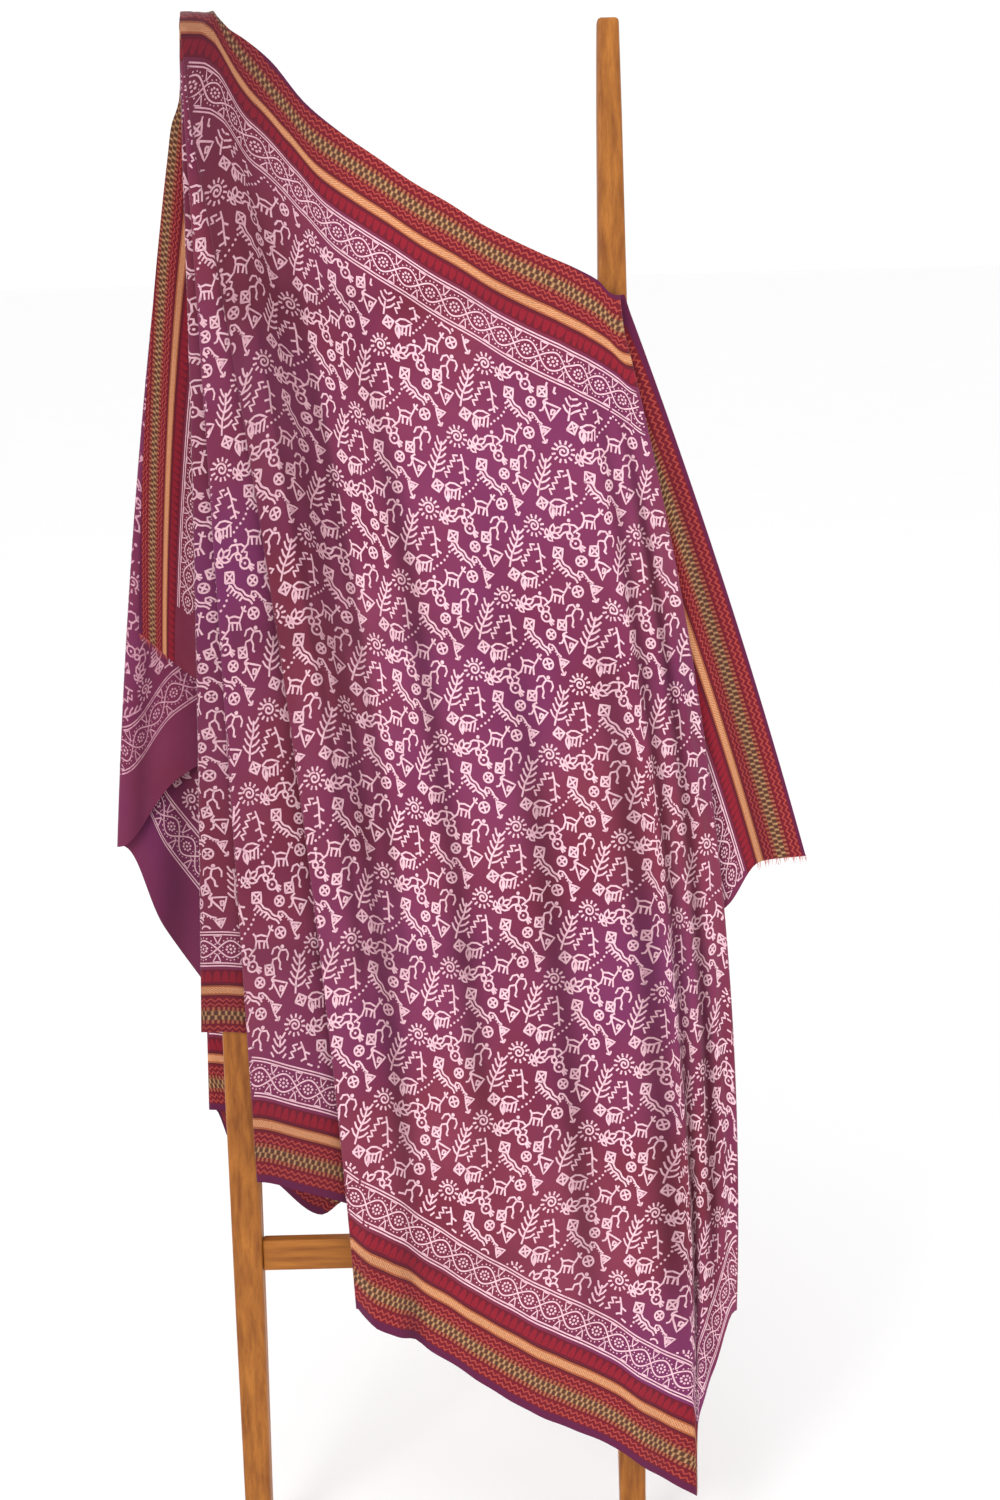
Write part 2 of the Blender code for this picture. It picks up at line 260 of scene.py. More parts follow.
def fold_lines(fold, before, after):
    name, turn, top_x, top_h, foot_x, foot_h, bow = fold
    wide = before[1] * after[1] < 0
    steps = 6 if wide else 4
    hook_before = 0.0 if name == "main_right" else before[3]
    swing = FLARE.get(name, 0.0)
    first = line_points(before, top_x, top_h, foot_x, foot_h, bow, hook_before, 0.0, swing)
    last = line_points(after, top_x, top_h, foot_x, foot_h, bow, after[3], 0.0, swing)
    found = []
    for k in range(steps):
        angle = math.pi * (k / (steps - 1) - 0.5)
        share = (1 + math.sin(angle)) / 2
        column = []
        for row, ((x, h_a, n_a), (_, h_b, n_b)) in enumerate(zip(first, last)):
            half = math.hypot(n_a - n_b, h_a - h_b) / 2
            swell = min(half, FOLD_ROUND) * math.cos(angle) * turn
            h = h_a + (h_b - h_a) * share
            if wide and row < len(HOOK_ROWS):
                top = first[0][1] + (last[0][1] - first[0][1]) * share
                even = top + (HOOK_DROP - top) * row / (len(HOOK_ROWS) - 1)
                h += (even - h) * math.cos(angle)
            column.append((x + swell, h, n_a + (n_b - n_a) * share))
        found.append(column)
    return found


def control_columns():
    """The drape's lines with, for each, its layer's number (a fold counts as half way between two)
    and the rim anchor it stands for, if any."""
    columns, places, anchors = [], [], []

    def add(points, place, anchor=None):
        columns.append(points)
        places.append(place)
        anchors.append(anchor)

    first = FOLDS[0]
    add(line_points(LAYERS[0], *first[2:], swing=FLARE.get(first[0], 0.0)), 0.0, RIM[first[0]])
    for i, layer in enumerate(LAYERS):
        before, after = FOLDS[i], FOLDS[i + 1]
        lines = LINES[layer[0]]
        for j, (top_x, top_h, foot_x, foot_h) in enumerate(lines):
            across = (j + 1) / (len(lines) + 1)
            bow = before[6] + (after[6] - before[6]) * across
            hook, ripple, anchor = None, 0.0, None
            if layer[0] == "main_panel":
                hook = MAIN_HOOK[min(j, len(MAIN_HOOK) - 1)]
                ripple = RIPPLE * (0.5 - 0.5 * math.cos(2 * math.pi * 2.5 * across)) * min(1.0, 2.5 * across)
                anchor = RIM["corner_right"] if j == 15 else None
            if layer[0] == "corner_tail" and j == 0:
                anchor = RIM["corner_low"]
            if layer[0] == "left_edge_strip":
                anchor = RIM["strip_middle"]
            add(line_points(layer, top_x, top_h, foot_x, foot_h, bow, hook, ripple), float(i), anchor)
        if after[1]:
            folded = fold_lines(after, layer, LAYERS[i + 1])
            feet = np.array([column[-1] for column in folded])
            half = np.linalg.norm(np.diff(feet, axis=0), axis=1).sum() / 2
            for k, column in enumerate(folded):
                share = k / (len(folded) - 1)
                add(column, i + share, RIM[after[0]] + half * (2 * share - 1))
    last = FOLDS[-1]
    add(line_points(LAYERS[-1], *last[2:]), float(len(LAYERS) - 1), RIM[last[0]])
    return np.array(columns), np.array(places), anchors


def slopes(x, y):
    """Slopes at each x of a curve through y that never swings past its points."""
    gap = np.diff(x)
    rate = np.diff(y, axis=0) / gap.reshape((-1,) + (1,) * (y.ndim - 1))
    slope = np.zeros_like(y)
    same = rate[1:] * rate[:-1] > 0
    a = (2 * gap[1:] + gap[:-1]).reshape((-1,) + (1,) * (y.ndim - 1))
    b = (gap[1:] + 2 * gap[:-1]).reshape((-1,) + (1,) * (y.ndim - 1))
    with np.errstate(divide="ignore", invalid="ignore"):
        middle = (a + b) / (a / rate[:-1] + b / rate[1:])
    slope[1:-1] = np.where(same, middle, 0.0)
    slope[0], slope[-1] = rate[0], rate[-1]
    return slope


def smooth(x, y, at):
    """y at each place of at, along axis 0, by a smooth curve through (x, y)."""
    slope = slopes(x, y)
    i = np.clip(np.searchsorted(x, at, side="right") - 1, 0, len(x) - 2)
    gap = x[i + 1] - x[i]
    u = (at - x[i]) / gap
    shape = (-1,) + (1,) * (y.ndim - 1)
    u, gap = u.reshape(shape), gap.reshape(shape)
    return (
        y[i] * (2 * u**3 - 3 * u**2 + 1) + y[i + 1] * (3 * u**2 - 2 * u**3)
        + gap * (slope[i] * (u**3 - 2 * u**2 + u) + slope[i + 1] * (u**3 - u**2))
    )


def rim_places(columns, anchors):
    """Each control line's place round the rim: spread by hem length between the anchored ones."""
    feet = columns[:, -1, :]
    run = np.concatenate([[0.0], np.cumsum(np.linalg.norm(np.diff(feet, axis=0), axis=1))])
    known = [i for i, anchor in enumerate(anchors) if anchor is not None]
    return np.interp(run, run[known], [anchors[i] for i in known])


def rim_point(p):
    if p <= WIDTH:
        return 0.0, p
    if p <= WIDTH + LENGTH:
        return p - WIDTH, WIDTH
    return LENGTH, max(0.0, 2 * WIDTH + LENGTH - p)


# Long soft pleats, each on one layer: place across its foot, half width, height out, and the rows
# between which it grows and fades. Heights are in metres and negative ones are troughs.
PLEATS = [
    # layer, across, half_width, height, row_start, row_end
    ("main_panel", 0.045, 0.035, 0.0050, 0.05, 1.00),
    ("main_panel", 0.085, 0.012, -0.0026, 0.03, 0.80),
    ("main_panel", 0.128, 0.026, -0.0040, 0.02, 0.95),
    ("main_panel", 0.172, 0.013, -0.0030, 0.05, 0.75),
    ("main_panel", 0.215, 0.050, 0.0060, 0.04, 0.92),
    ("main_panel", 0.300, 0.022, -0.0034, 0.06, 0.85),
    ("main_panel", 0.385, 0.045, 0.0045, 0.20, 1.00),
    ("main_panel", 0.470, 0.026, -0.0034, 0.25, 0.95),
    ("main_panel", 0.555, 0.050, 0.0055, 0.15, 1.00),
    ("main_panel", 0.640, 0.022, -0.0038, 0.20, 0.92),
    ("main_panel", 0.700, 0.035, 0.0050, 0.10, 1.00),
    ("main_panel", 0.775, 0.030, -0.0036, 0.02, 0.98),
    ("main_panel", 0.835, 0.028, 0.0065, 0.02, 1.00),
    ("main_panel", 0.885, 0.022, -0.0040, 0.01, 0.98),
    ("main_panel", 0.935, 0.025, 0.0060, 0.01, 1.00),
    ("second_panel", 0.300, 0.120, 0.0016, 0.15, 1.00),
    ("second_panel", 0.560, 0.090, -0.0012, 0.25, 1.00),
    ("second_panel", 0.800, 0.100, 0.0014, 0.20, 1.00),
    ("pole_front", 0.300, 0.120, 0.0010, 0.20, 1.00),
    ("pole_front", 0.650, 0.120, 0.0009, 0.30, 1.00),
    ("left_edge_strip", 0.300, 0.140, 0.0022, 0.15, 1.00),
    ("left_edge_strip", 0.620, 0.120, 0.0018, 0.25, 1.00),
    ("left_return", 0.350, 0.120, -0.0018, 0.30, 1.00),
    ("left_return", 0.620, 0.090, 0.0016, 0.30, 1.00),
    ("left_return", 0.840, 0.070, -0.0018, 0.20, 1.00),
    ("left_back", 0.120, 0.070, 0.0022, 0.40, 1.00),
    ("left_back", 0.260, 0.060, -0.0022, 0.45, 1.00),
    ("left_back", 0.420, 0.070, 0.0024, 0.40, 1.00),
    ("left_back", 0.600, 0.070, -0.0020, 0.50, 1.00),
    ("left_back", 0.780, 0.070, 0.0022, 0.50, 1.00),
    ("corner_tail", 0.300, 0.090, 0.0016, 0.60, 1.00),
    ("corner_tail", 0.600, 0.080, -0.0014, 0.60, 1.00),
    ("right_edge_strip", 0.350, 0.100, 0.0020, 0.15, 1.00),
    ("right_edge_strip", 0.560, 0.080, -0.0016, 0.20, 1.00),
    ("right_edge_strip", 0.740, 0.080, 0.0022, 0.10, 1.00),
    ("right_edge_strip", 0.900, 0.050, -0.0018, 0.10, 1.00),
]


def build_sheet_grid():
    """The cloth as a fine grid: world place, flat s and t, and shade of every point, and the rim places."""
    columns, places, anchors = control_columns()
    rim = rim_places(columns, anchors)
    coarse_rows = np.array(HOOK_ROWS + ROWS)
    rows = np.concatenate([np.linspace(0, 0.03, 11)[:-1], 0.03 + 0.97 * np.linspace(0, 1, ROW_COUNT - 10)])
    fine = smooth(coarse_rows, np.moveaxis(columns, 1, 0), rows)
    fine = np.moveaxis(fine, 0, 1)

    wanted = [rim[0]]
    for a, b, place_a, place_b in zip(rim, rim[1:], places, places[1:]):
        turning = place_a != place_b
        steps = max(2 if turning else 1, math.ceil((b - a) / COLUMN_STEP))
        wanted += list(a + (b - a) * np.arange(1, steps + 1) / steps)
    at = np.array(wanted)
    grid = smooth(rim, fine, at)
    place = np.interp(at, rim, places)

    # Flat places of the ends of each line.
    top_x = columns[:, 0, 0]
    top_h = columns[:, 0, 1]
    gathered = [RIM[name] for name in TOP_S]
    tops = np.zeros((len(columns), 2))
    edge_run = np.zeros(len(columns))
    reach = 0.0
    for i in range(len(columns)):
        if 9.9 < places[i] <= 10.0:
            reach += math.hypot(top_x[i] - top_x[i - 1], max(0.0, top_h[i]) - max(0.0, top_h[i - 1]))
        edge_run[i] = reach
    share = edge_run / reach
    tops[:, 0] = np.interp(rim, gathered, list(TOP_S.values()))
    tops[:, 0] += (TURN_S - TOP_S["main_left"]) * share
    tops[:, 1] = np.interp(share, [roll for roll, t in EDGE_ROLL], [t for roll, t in EDGE_ROLL])
    tops_at = np.stack([np.interp(at, rim, tops[:, k]) for k in (0, 1)], axis=1)
    feet_at = np.array([rim_point(p) for p in at])
    # The layers behind the pole stop a little sooner on its tip.
    tops_at[place < 5.5, 1] += 0.008
    # The front layer's hem is turned under, so its selvedge is at the back.
    front_hem = (at > RIM["pole_left"]) & (at < RIM["under_second"])
    feet_at[front_hem, 1] -= 0.011
    # The strip at the right has part of its selvedge rolled to the back as well.
    strip = (at - RIM["under_right"]) / (RIM["right_long_edge"] - RIM["under_right"])
    feet_at[:, 1] += 0.004 * np.clip(strip, 0, 1)

    step = np.linalg.norm(np.diff(grid, axis=1), axis=2)
    run = np.concatenate([np.zeros((len(at), 1)), np.cumsum(step, axis=1)], axis=1)
    # The cloth that lies over the tip is taken from each line's start, so the print below runs on evenly.
    share_at = np.interp(at, rim, share)
    for i in range(len(at)):
        above = np.where(grid[i, :, 1] < 0)[0]
        if len(above) == 0:
            continue
        pair = slice(above[-1], above[-1] + 2)
        level = np.interp(0.0, grid[i, pair, 1], run[i, pair])
        tops_at[i, 0] -= (feet_at[i, 0] - tops_at[i, 0]) * level / run[i, -1]
        if 9.9 < place[i] <= 10.0 and share_at[i] < OVER_TIP[-1][0]:
            wanted_t = np.interp(share_at[i], [a for a, t in OVER_TIP], [t for a, t in OVER_TIP])
            tops_at[i, 1] = max(0.0, wanted_t - FALL_RATE * level)
    down = (run / run[:, -1:])[..., None]
    flat = tops_at[:, None, :] * (1 - down) + feet_at[:, None, :] * down

    # Pleats and a little unevenness, along n, with painted shade in the troughs.
    painted_shade = np.zeros(grid.shape[:2])
    edges = {}
    for i, layer in enumerate(LAYERS):
        inside = np.where(place == float(i))[0]
        edges[layer[0]] = (at[inside[0]], at[inside[-1]], inside)
    for name, across, half, height, start, end in PLEATS:
        low, high, inside = edges[name]
        a = (at[inside] - low) / (high - low)
        bell = np.exp(-(((a - across) / half) ** 2))[:, None]
        grow = np.clip((rows - start) / 0.22, 0, 1) * np.clip((end - rows) / 0.12 + (end >= 1.0), 0, 1)
        edge_soft = np.clip(np.minimum(a, 1 - a) / 0.03, 0, 1)[:, None]
        lift = height * bell * (grow**1.5)[None, :] * edge_soft
        grid[inside, :, 2] += lift
        # Painted shade, deeper in deeper troughs.
        painted_shade[inside] += np.minimum(0.0, lift) / 0.004
    low, high, inside = edges["main_panel"]
    a = ((at[inside] - low) / (high - low))[:, None]
    v = rows[None, :]
    soft = np.clip(np.minimum(a, 1 - a) / 0.04, 0, 1) * np.clip(v / 0.3, 0, 1)
    drift = 0.0011 * np.sin(2 * math.pi * (9.0 * a + 1.2 * v))
    drift += 0.0008 * np.sin(2 * math.pi * (15.0 * a - 2.3 * v))
    drift += 0.0008 * np.sin(2 * math.pi * (4.0 * v + 3.0 * a))
    grid[inside, :, 2] += 0.0012 * soft + drift * soft
    # The main hem waves a little, and tucks in once near its left end, with painted shade in the tuck.
    hem = np.clip((v - 0.84) / 0.16, 0, 1) ** 2 * np.clip(np.minimum(a, 1 - a) / 0.04, 0, 1)
    grid[inside, :, 2] += 0.0035 * hem * (1 + np.sin(2 * math.pi * 4.2 * a + 0.6))
    grid[inside, :, 1] += 0.0030 * hem * np.sin(2 * math.pi * 3.1 * a + 1.1)
    tuck = np.exp(-(((a - 0.115) / 0.022) ** 2)) * np.clip((v - 0.86) / 0.14, 0, 1) ** 1.5
    grid[inside, :, 2] -= 0.0030 * tuck
    grid[inside, :, 1] -= 0.0060 * tuck
    # Painted shade in the tuck.
    painted_shade[inside] -= 0.8 * tuck

    # Where a rung lies behind the front layers, its shadow through the cloth is painted in as a soft darker
    # band.
    front = (place > 6.0)[:, None]
    for number in range(RUNG_COUNT):
        rung_h = RUNG_FIRST_H + number * RUNG_PITCH
        near = np.exp(-(((grid[..., 1] - rung_h) / 0.017) ** 4))
        within = (np.abs(grid[..., 0]) < POLE_X - 0.012) & front
        fade = np.clip((0.16 - grid[..., 0]) / 0.10, 0, 1)
        painted_shade -= 0.24 * near * within * fade
    # Painted shade on the gathered layers at the left.
    for number, shade in GATHER_SHADE.items():
        painted_shade[np.abs(place - number) < 0.5] -= shade
    # The bunched folds over and beside the left pole shade one another.
    bunched = np.clip((-0.035 - grid[..., 0]) / 0.17, 0, 1) * (place > 9.5)[:, None]
    painted_shade -= 0.95 * bunched * np.clip(1.15 - grid[..., 1] / 1.45, 0, 1)
    return to_world(grid), flat, at, painted_shade


# The lines and motifs of the print, in millimetres, x along the cloth's length and y up its width.

def circle(x, y, radius, count=12, start=0.0, turn=360.0, closed=True):
    steps = count if closed else count + 1
    angles = [math.radians(start + turn * k / count) for k in range(steps)]
    points = [(x + radius * math.cos(a), y + radius * math.sin(a)) for a in angles]
    return points + [points[0]] if closed else points


def leaf(x, y, length, angle, wide=2.2):
    a = math.radians(angle)
    found = []
    for u, w in ((0, 0), (0.3, 1), (0.6, 0.95), (1, 0), (0.6, -0.95), (0.3, -1), (0, 0)):
        along, side = u * length, w * wide
        found.append((x + along * math.cos(a) - side * math.sin(a),
            y + along * math.sin(a) + side * math.cos(a)))
    return found


def wheel():
    strokes = [circle(0, 0, 6.0, 14)]
    strokes += [[(-4.2, -4.2), (4.2, 4.2)], [(-4.2, 4.2), (4.2, -4.2)]]
    return strokes, []


def tile():
    box = [(-5.4, -6), (5.6, -5.4), (5, 6), (-5.6, 5.4), (-5.4, -6)]
    return [box, [(-5.4, -6), (5, 6)], [(-5.6, 5.4), (5.6, -5.4)]], []


def comb():
    strokes = []
    for lift in (0.0, 4.4):
        strokes.append([(-19 + 3.4 * k, lift + 1.0 * math.sin(1.5 * k)) for k in range(12)])
    dots = []
    for k in range(5):
        x = -16.5 + 5.0 * k
        strokes.append([(x, -0.4), (x - 0.8, -4.6)])
        dots.append((x - 0.9, -5.6, 1.3))
    return strokes, dots


def frond():
    strokes = [[(-1, -20), (-1.4, -7), (1.0, 7), (0.4, 19)]]
    for k in range(5):
        y = -13 + 7.0 * k
        reach = 9.0 - 0.9 * k
        strokes.append([(-0.6, y), (-reach * 0.6, y + 3.0), (-reach, y + 7.6)])
        strokes.append([(0.2, y), (reach * 0.6, y + 3.0), (reach, y + 7.6)])
    return strokes, []


def sun():
    spiral = []
    for k in range(17):
        angle = 0.60 * k
        r = 0.9 + 0.36 * k
        spiral.append((r * math.cos(angle), r * math.sin(angle)))
    strokes, dots = [spiral], []
    for k in range(12):
        a = math.radians(30 * k + 8)
        strokes.append([(7.6 * math.cos(a), 7.6 * math.sin(a)), (10.4 * math.cos(a), 10.4 * math.sin(a))])
        dots.append((10.9 * math.cos(a), 10.9 * math.sin(a), 1.25))
    return strokes, dots


def sprig():
    strokes = [[(0, -12), (0.7, -4), (0, 2)]]
    strokes += [leaf(0, 2, 11, 92, 2.8), leaf(0.2, -1.5, 11, 42, 2.8), leaf(0, -1.5, 11, 138, 2.8)]
    strokes += [leaf(0.4, -7, 8, 20, 2.2), leaf(0, -7, 8, 160, 2.2)]
    return strokes, []


def zigzag():
    return [[(2.7 * (-1) ** k + 0.4 * k - 2, 15 - 3.8 * k) for k in range(9)]], []


def dots_line():
    return [], [(1.6 * math.sin(0.9 * k), 15 - 6.0 * k, 1.6) for k in range(6)]


def dart():
    strokes = [[(-8, 7), (5, 8), (-2, -4.5), (-8, 7)], [(-2, -4.5), (4.4, -10.5)]]
    strokes += [[(-4.4, 4.4), (0.6, 4.8), (-2.0, 0.4), (-4.4, 4.4)]]
    strokes += [[(4.4, -10.5), (-0.6, -11)], [(4.4, -10.5), (4.6, -5.4)]]
    return strokes, []


def deer():
    strokes = [[(-8, 1.5), (-7.4, -3.4), (4.6, -4), (6.6, 1), (-1.4, 3), (-8, 1.5)]]
    for x, lean in ((-7, -1.6), (-4, 0.6), (2.4, -0.8), (5, 1.8)):
        strokes.append([(x, -3.6), (x + lean, -12)])
    strokes += [[(6.6, 1), (9.6, 8.4), (13.6, 7.4)], [(9.6, 8.4), (8, 13)], [(10, 8.6), (12.4, 13.4)],
        [(-8, 1.5), (-11, 5)]]
    return strokes, []


def dancer():
    strokes = [[(0, 7.5), (-0.5, 2), (0.3, -3)], [(0.3, -3), (-4.4, -8), (-2.8, -14)],
        [(0.3, -3), (5.2, -7.4), (7.6, -14)]]
    strokes += [[(0, 6), (-5.4, 7.8), (-9, 3.6), (-8.4, -1.2)], [(0, 6), (6, 9), (10.4, 5.4), (11.4, 0.6)]]
    strokes += [[(-2.8, -14), (-5.4, -14.8)], [(7.6, -14), (10.2, -13.2)]]
    return strokes, [(0, 10.4, 2.5), (-8.4, -2.2, 1.3), (11.6, -0.6, 1.3)]


def runner():
    strokes = [[(-2.4, 6), (1.2, 1.2), (2, -3.2)], [(2, -3.2), (-4.2, -7.2), (-7.2, -13.2)]]
    strokes += [[(2, -3.2), (7.2, -6.6), (6.6, -12.6), (9.8, -13)]]
    strokes += [[(-1.4, 4.8), (-7.2, 3), (-10.2, -1.2)], [(-1.2, 4.8), (4.8, 6.2), (10, 3.8)],
        [(13.6, 9), (6.6, -3)]]
    return strokes, [(-3.4, 9.2, 2.4)]


def canopy():
    strokes = [leaf(-11, 4, 21, 22, 4.2)]
    strokes += [[(-6.4 + 4.6 * k, 3.0 + 1.9 * k), (-4 + 4.6 * k, -8.4 + 1.7 * k)] for k in range(4)]
    strokes.append(leaf(-8.6, 2, 15, -64, 2.6))
    return strokes, [(2.6, -3.2, 1.2)]


def pennant():
    strokes = [[(-10, 8), (10.4, 5.4), (3.2, -12), (-10, 8)],
        [(1.6, 1.4), (6, 0.8), (4.6, -4), (2.0, -4.4), (1.6, 1.4)]]
    strokes += [[(-10, 8), (-5.4, 13)], [(-6.6, 7.4), (-8.6, -2), (-12.2, -4)]]
    return strokes, []


def tendril():
    strokes = [[(4.6, -19), (3.4, -10), (5.4, -1), (5.8, 6.6), (1.6, 12), (-3.8, 9.4), (-4, 2.8),
        (0.2, 0.6), (2.0, 5.6)]]
    return strokes, [(0.6, -10.6, 1.4), (1.6, -4.8, 1.3), (0.6, -15.6, 1.4)]


def beetle():
    strokes = [circle(0, 0, 5.8, 13), [(-4.4, 3.6), (-8.6, 5.6), (-9.6, 10.2), (-6.4, 11.4)],
        [(2.4, 5.4), (4.4, 10.6), (0.8, 12.4)]]
    strokes += [[(5.6, -1.6), (10.4, -4.6)], [(3.8, -4.6), (6.8, -9.8)], [(5.2, -3.4), (9.4, -8.4)]]
    return strokes, [(0, 0, 1.6)]


def twig():
    strokes = [[(-4.4, 17), (-0.8, 7), (1.2, -4), (4.4, -17)]]
    dots = []
    for k, (x, y) in enumerate([(-2.4, 11.4), (-0.2, 5), (0.9, -2), (2.2, -8.6), (3.4, -13.2)]):
        side = 4.6 if k % 2 else -4.6
        strokes.append([(x, y), (x + side, y - 2.0)])
        dots.append((x + side * 1.15, y - 2.4, 1.4))
    return strokes, dots


MOTIFS = {
    "wheel": wheel, "tile": tile, "comb": comb, "frond": frond, "sun": sun, "sprig": sprig, "zigzag": zigzag,
    "dots": dots_line, "dart": dart, "deer": deer, "dancer": dancer, "runner": runner, "canopy": canopy,
    "pennant": pennant, "tendril": tendril, "beetle": beetle, "twig": twig,
}
BLOCK_LONG = 107.0
BLOCK_WIDE = 84.0
LAYOUT = [
    # motif, x, y, turn, size
    ("sun", 14, 14, 0, 0.98),
    ("frond", 4, 47, 10, 1.02),
    ("zigzag", 19, 45, -10, 0.90),
    ("twig", 33, 42, 18, 0.90),
    ("sprig", 35, 11, -38, 0.92),
    ("tile", 48, 27, 14, 0.90),
    ("comb", 64, 40, -20, 0.86),
    ("dots", 47, 56, -16, 0.86),
    ("canopy", 31, 71, 4, 0.88),
    ("tile", 14, 72, -12, 0.84),
    ("deer", 64, 64, 16, 0.92),
    ("wheel", 82, 54, 0, 0.92),
    ("dancer", 86, 76, -10, 0.88),
    ("beetle", 61, 10, 24, 0.90),
    ("wheel", 73, 24, 20, 0.84),
    ("tile", 80, 9, 18, 0.84),
    ("pennant", 94, 23, 10, 0.86),
    ("dart", 98, 47, 6, 0.84),
    ("runner", 49, 83, 4, 0.84),
    ("tendril", 81, 38, 68, 0.58),
]
LINE = 1.95
FIELD_EDGE = 124.0
FIELD_LEFT = 112.0
FIELD_RIGHT = 53.0
BAND_LOW, BAND_HIGH = 84.0, 121.0
LEFT_END_LOW, LEFT_END_HIGH = 66.0, 108.0
RIGHT_END_LOW, RIGHT_END_HIGH = 7.0, 49.0
L_MM, W_MM = LENGTH * 1000, WIDTH * 1000


class Print:
    """Flat strips and dots, in millimetres on the cloth, gathered as one mesh."""

    def __init__(self):
        self.points = []
        self.faces = []

    def strip(self, line, width, step=4.2):
        run = [np.array(line[0], float)]
        for a, b in zip(line, line[1:]):
            a, b = np.array(a, float), np.array(b, float)
            count = max(1, math.ceil(np.linalg.norm(b - a) / step))
            run += [a + (b - a) * (k + 1) / count for k in range(count)]
        run = np.array(run)
        way = np.gradient(run, axis=0)
        way /= np.maximum(np.linalg.norm(way, axis=1, keepdims=True), 1e-9)
        side = np.stack([-way[:, 1], way[:, 0]], axis=1) * width / 2
        start = len(self.points)
        for a, b in zip(run + side, run - side):
            self.points += [a, b]
        for k in range(len(run) - 1):
            i = start + 2 * k
            self.faces.append((i, i + 1, i + 3, i + 2))

    def dot(self, x, y, radius, count=6):
        start = len(self.points)
        self.points += [np.array(p) for p in circle(x, y, radius, count, closed=False)[:count]]
        self.faces.append(tuple(range(start, start + count)))


def add_field(made):
    inside_s = (FIELD_LEFT, L_MM - FIELD_RIGHT)
    inside_t = (FIELD_EDGE, W_MM - FIELD_EDGE)
    drawn = {name: build() for name, build in MOTIFS.items()}

    def allowed(point, slack=0.0):
        return (
            inside_s[0] - slack < point[0] < inside_s[1] + slack
            and inside_t[0] - slack < point[1] < inside_t[1] + slack
        )

    columns = int(L_MM / BLOCK_LONG) + 2
    rows = int(W_MM / BLOCK_WIDE) + 3
    for i in range(columns):
        for j in range(-1, rows):
            base_s = i * BLOCK_LONG + 6
            base_t = j * BLOCK_WIDE + (i % 2) * BLOCK_WIDE / 2
            for name, x, y, turn, size in LAYOUT:
                strokes, dots = drawn[name]
                a = math.radians(turn)
                ca, sa = math.cos(a) * size, math.sin(a) * size

                def place(point):
                    px, py = point[0] * ca - point[1] * sa, point[0] * sa + point[1] * ca
                    return base_s + x + px, base_t + y - py

                if not allowed((base_s + x, base_t + y), 16.0):
                    continue
                for stroke in strokes:
                    piece = []
                    for point in map(place, stroke):
                        if allowed(point):
                            piece.append(point)
                        else:
                            if len(piece) > 1:
                                made.strip(piece, LINE)
                            piece = []
                    if len(piece) > 1:
                        made.strip(piece, LINE)
                for dx, dy, radius in dots:
                    spot = place((dx, dy))
                    if allowed(spot):
                        made.dot(spot[0], spot[1], radius * size)


def add_band(made, low, high, start, end, place):
    """A printed border: ruled lines, two crossing waves, a flower in each eye, dots and small triangles.
    place turns (along, across) into a flat point."""
    middle = (low + high) / 2
    swell = (high - low) * 0.25
    for across in (low, low + 3.0, high - 3.0, high):
        made.strip([place(u, across) for u in np.arange(start, end + 6, 6.0)], 1.4, 6.5)
    eye = 28.0
    count = int((end - start) / eye)
    eye = (end - start) / count
    along = np.linspace(start, end, count * 10 + 1)
    for sign in (1, -1):
        wave = [place(u, middle + sign * swell * math.sin(math.pi * (u - start) / eye)) for u in along]
        made.strip(wave, 1.6)
    for k in range(count):
        centre = start + (k + 0.5) * eye
        for petal in range(8):
            a = math.radians(45 * petal + 10)
            spot = place(centre + 4.6 * math.cos(a), middle + 4.2 * math.sin(a))
            made.dot(spot[0], spot[1], 1.4, 5)
        spot = place(centre, middle)
        made.dot(spot[0], spot[1], 1.5, 6)
        for shift in (-8.8, 8.8):
            for lift in (-1.6, 1.6):
                spot = place(centre + shift, middle + lift)
                made.dot(spot[0], spot[1], 0.85, 4)
        for sign in (1, -1):
            for step in range(7):
                u = (step + 0.5) / 7
                lift = middle + sign * (swell * math.sin(math.pi * u) + 3.0)
                if abs(lift - middle) < (high - low) / 2 - 4.2:
                    spot = place(centre + (u - 0.5) * eye, lift)
                    made.dot(spot[0], spot[1], 0.95, 4)
            node = centre + eye / 2
            tip, base = middle + sign * 5.4, middle + sign * ((high - low) / 2 - 4.4)
            made.strip([place(node, tip), place(node - 3.6, base), place(node + 3.6, base),
                place(node, tip)], 1.2)


def build_field():
    made = Print()
    add_field(made)
    return np.array(made.points) / 1000, made.faces


def build_borders():
    made = Print()
    start, end = LEFT_END_LOW + 2, L_MM - RIGHT_END_LOW - 2
    add_band(made, BAND_LOW, BAND_HIGH, start, end, lambda u, a: (u, a))
    add_band(made, BAND_LOW, BAND_HIGH, start, end, lambda u, a: (u, W_MM - a))
    side = BAND_HIGH + 2
    add_band(made, LEFT_END_LOW, LEFT_END_HIGH, side, W_MM - side, lambda u, a: (a, u))
    add_band(made, RIGHT_END_LOW, RIGHT_END_HIGH, side, W_MM - side, lambda u, a: (L_MM - a, u))
    return np.array(made.points) / 1000, made.faces


# Mapping from the flat cloth to its drape

